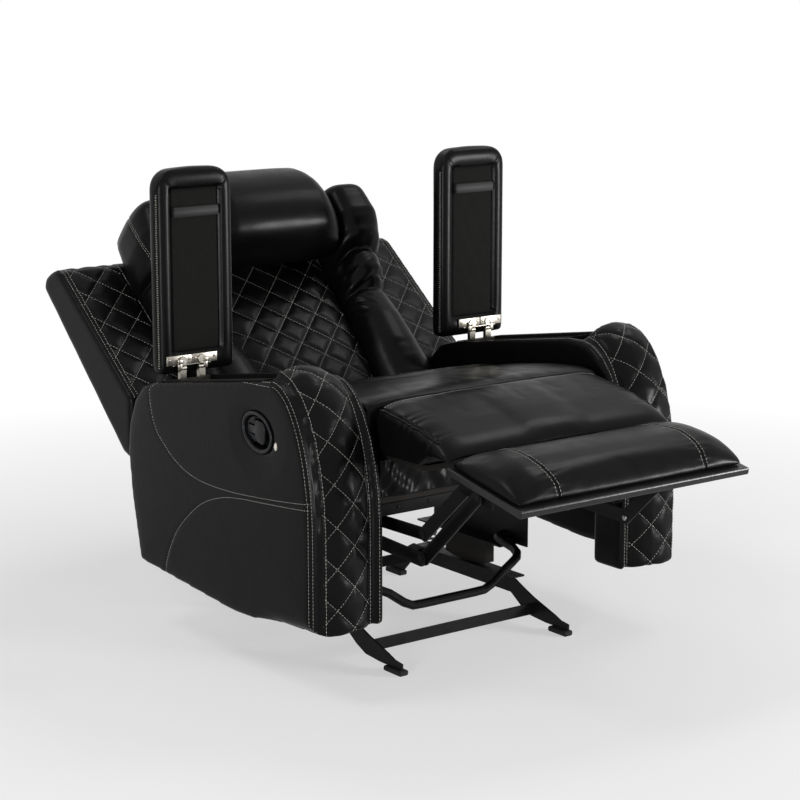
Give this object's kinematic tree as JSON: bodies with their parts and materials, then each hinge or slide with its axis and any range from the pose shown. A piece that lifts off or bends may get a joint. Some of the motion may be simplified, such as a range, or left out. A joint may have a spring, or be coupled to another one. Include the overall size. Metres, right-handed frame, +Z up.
{
  "type": "rocker recliner",
  "caption": "Rocker recliner armchair with a reclining winged back, fold-out chaise footrest, rocking base and arms whose hinged lids open to storage compartments.",
  "frame": {"origin": "middle of the chair's box at floor level", "axes": "+Z up, +Y towards the back, so the sitter faces -Y and the sitter's right hand is at -X"},
  "size_m": [0.99, 1.5316, 1.032],
  "materials": {
    "leather": "black bonded leather, semi-gloss, fine pebble grain, pale grey contrast stitching",
    "lining": "black non-woven lining, matt",
    "painted_steel": "black satin paint on pressed steel",
    "nickel": "nickel plated pressed steel",
    "rubber": "black rubber, matt",
    "plastic": "black moulded plastic, semi-gloss",
    "timber": "sawn pine, unfinished",
    "board_wrap": "board wrapped in black leatherette",
    "spring_steel": "bare spring steel, oiled"
  },
  "bodies": {
    "floor_base": {"base_rail_left": "painted_steel", "base_rail_right": "painted_steel", "front_crossbar": "painted_steel", "rear_crossbar": "painted_steel", "rocker_spring_left": "spring_steel", "rocker_spring_right": "spring_steel", "rubber_foot_front_left": "rubber", "rubber_foot_front_right": "rubber", "rubber_foot_rear_left": "rubber", "rubber_foot_rear_right": "rubber"},
    "rocker_frame": {"arm_front_pad_left": "leather", "arm_front_pad_right": "leather", "arm_inner_panel_left": "leather", "arm_inner_panel_right": "leather", "arm_outer_panel_left": "leather", "arm_outer_panel_right": "leather", "arm_rear_pad_left": "leather", "arm_rear_pad_right": "leather", "front_cross_tube": "painted_steel", "lid_hinge_arms_left": "nickel", "lid_hinge_arms_right": "nickel", "recline_handle_bezel": "plastic", "rocker_cam_left": "timber", "rocker_cam_right": "timber", "rocker_frame_left": "painted_steel", "rocker_frame_right": "painted_steel", "storage_box_left": "lining", "storage_box_right": "lining"},
    "seat_carriage": {"seat_cushion": "leather", "seat_front_rail": "timber", "seat_plate_left": "painted_steel", "seat_plate_right": "painted_steel", "seat_rear_rail": "timber", "seat_spring_deck": "spring_steel"},
    "back": {"back_centre_pad": "leather", "back_shell": "leather", "headrest_pillow": "leather", "recline_bracket_left": "painted_steel", "recline_bracket_right": "painted_steel", "side_bolster_left": "leather", "side_bolster_right": "leather"},
    "chaise_flap": {"chaise_board": "timber", "chaise_pad": "leather"},
    "handle_lever": {"recline_handle": "plastic"},
    "lid_right": {"arm_lid_right": "leather", "lid_hinge_cups_right": "nickel"},
    "lower_links_right": {"lower_link_right": "painted_steel"},
    "upper_links_right": {"upper_link_right": "painted_steel"},
    "control_links_right": {"control_link_right": "painted_steel"},
    "follower_links_right": {"follower_link_right": "painted_steel"},
    "lid_left": {"arm_lid_left": "leather", "lid_hinge_cups_left": "nickel"},
    "lower_links_left": {"lower_link_left": "painted_steel"},
    "upper_links_left": {"upper_link_left": "painted_steel"},
    "control_links_left": {"control_link_left": "painted_steel"},
    "follower_links_left": {"follower_link_left": "painted_steel"},
    "footrest": {"footrest_board": "board_wrap", "footrest_bracket_left": "painted_steel", "footrest_bracket_right": "painted_steel", "footrest_pad": "leather"}
  },
  "joints": [
    {"name": "rocking", "type": "hinge", "parent": "floor_base", "child": "rocker_frame", "pos_m": [0, 0.07316, 0.44], "axis": [1, 0, 0], "range_deg": [-6, 6], "stiffness_Nm_per_rad": 900, "deforming": ["rocker_spring_right", "rocker_spring_left"]},
    {"name": "seat_slide", "type": "slide", "parent": "rocker_frame", "child": "seat_carriage", "axis": [0, 1, 0], "range_m": [0, 0.055]},
    {"name": "back_recline", "type": "hinge", "parent": "seat_carriage", "child": "back", "pos_m": [0, 0.25316, 0.43], "axis": [1, 0, 0], "range_deg": [0, 30]},
    {"name": "lid_hinge_right", "type": "hinge", "parent": "rocker_frame", "child": "lid_right", "pos_m": [0, 0.23016, 0.597], "axis": [1, 0, 0], "range_deg": [0, 83.8]},
    {"name": "lid_hinge_left", "type": "hinge", "parent": "rocker_frame", "child": "lid_left", "pos_m": [0, 0.23016, 0.597], "axis": [1, 0, 0], "range_deg": [0, 83.8]},
    {"name": "release_handle", "type": "hinge", "parent": "rocker_frame", "child": "handle_lever", "pos_m": [-0.49, -0.12884, 0.534], "axis": [0, 0, -1], "range_deg": [0, 25], "stiffness_Nm_per_rad": 0.6},
    {"name": "footrest_drive", "type": "hinge", "parent": "seat_carriage", "child": "lower_links_right", "pos_m": [0, -0.19684, 0.3], "axis": [1, 0, 0], "range_deg": [0, 106.62]},
    {"name": "chaise_fold", "type": "hinge", "parent": "seat_carriage", "child": "chaise_flap", "pos_m": [0, -0.29814, 0.4745], "axis": [1, 0, 0], "range_deg": [0, 68]},
    {"name": "upper_link_right_pivot", "type": "hinge", "parent": "lower_links_right", "child": "upper_links_right", "pos_m": [0, -0.43162, 0.28997], "axis": [1, 0, 0], "range_deg": [-117.44, 0]},
    {"name": "footrest_board_pivot", "type": "hinge", "parent": "upper_links_right", "child": "footrest", "pos_m": [0, -0.60184, 0.452], "axis": [1, 0, 0], "range_deg": [0, 89.83]},
    {"name": "control_link_right_pivot", "type": "hinge", "parent": "seat_carriage", "child": "control_links_right", "pos_m": [0, -0.22684, 0.331], "axis": [1, 0, 0], "range_deg": [0, 113.8]},
    {"name": "follower_link_right_pivot", "type": "hinge", "parent": "control_links_right", "child": "follower_links_right", "pos_m": [0, -0.41381, 0.3343], "axis": [1, 0, 0], "range_deg": [-129.1, 0]},
    {"name": "lower_link_left_pivot", "type": "hinge", "parent": "seat_carriage", "child": "lower_links_left", "pos_m": [0, -0.19684, 0.3], "axis": [1, 0, 0], "range_deg": [0, 106.62]},
    {"name": "upper_link_left_pivot", "type": "hinge", "parent": "lower_links_left", "child": "upper_links_left", "pos_m": [0, -0.43162, 0.28997], "axis": [1, 0, 0], "range_deg": [-117.44, 0]},
    {"name": "control_link_left_pivot", "type": "hinge", "parent": "seat_carriage", "child": "control_links_left", "pos_m": [0, -0.22684, 0.331], "axis": [1, 0, 0], "range_deg": [0, 113.8]},
    {"name": "follower_link_left_pivot", "type": "hinge", "parent": "control_links_left", "child": "follower_links_left", "pos_m": [0, -0.41381, 0.3343], "axis": [1, 0, 0], "range_deg": [-129.1, 0]}
  ],
  "couplings": [
    {"joint": "seat_slide", "follows": "back_recline", "m_per_rad": 0.10504},
    {"joint": "chaise_fold", "follows": "footrest_drive", "ratio": 0.6378},
    {"joint": "upper_link_right_pivot", "follows": "footrest_drive", "ratio": -1.1015},
    {"joint": "footrest_board_pivot", "follows": "footrest_drive", "ratio": 0.84251},
    {"joint": "control_link_right_pivot", "follows": "footrest_drive", "ratio": 1.0674},
    {"joint": "follower_link_right_pivot", "follows": "footrest_drive", "ratio": -1.2109},
    {"joint": "lower_link_left_pivot", "follows": "footrest_drive", "ratio": 1},
    {"joint": "upper_link_left_pivot", "follows": "footrest_drive", "ratio": -1.1015},
    {"joint": "control_link_left_pivot", "follows": "footrest_drive", "ratio": 1.0674},
    {"joint": "follower_link_left_pivot", "follows": "footrest_drive", "ratio": -1.2109}
  ]
}
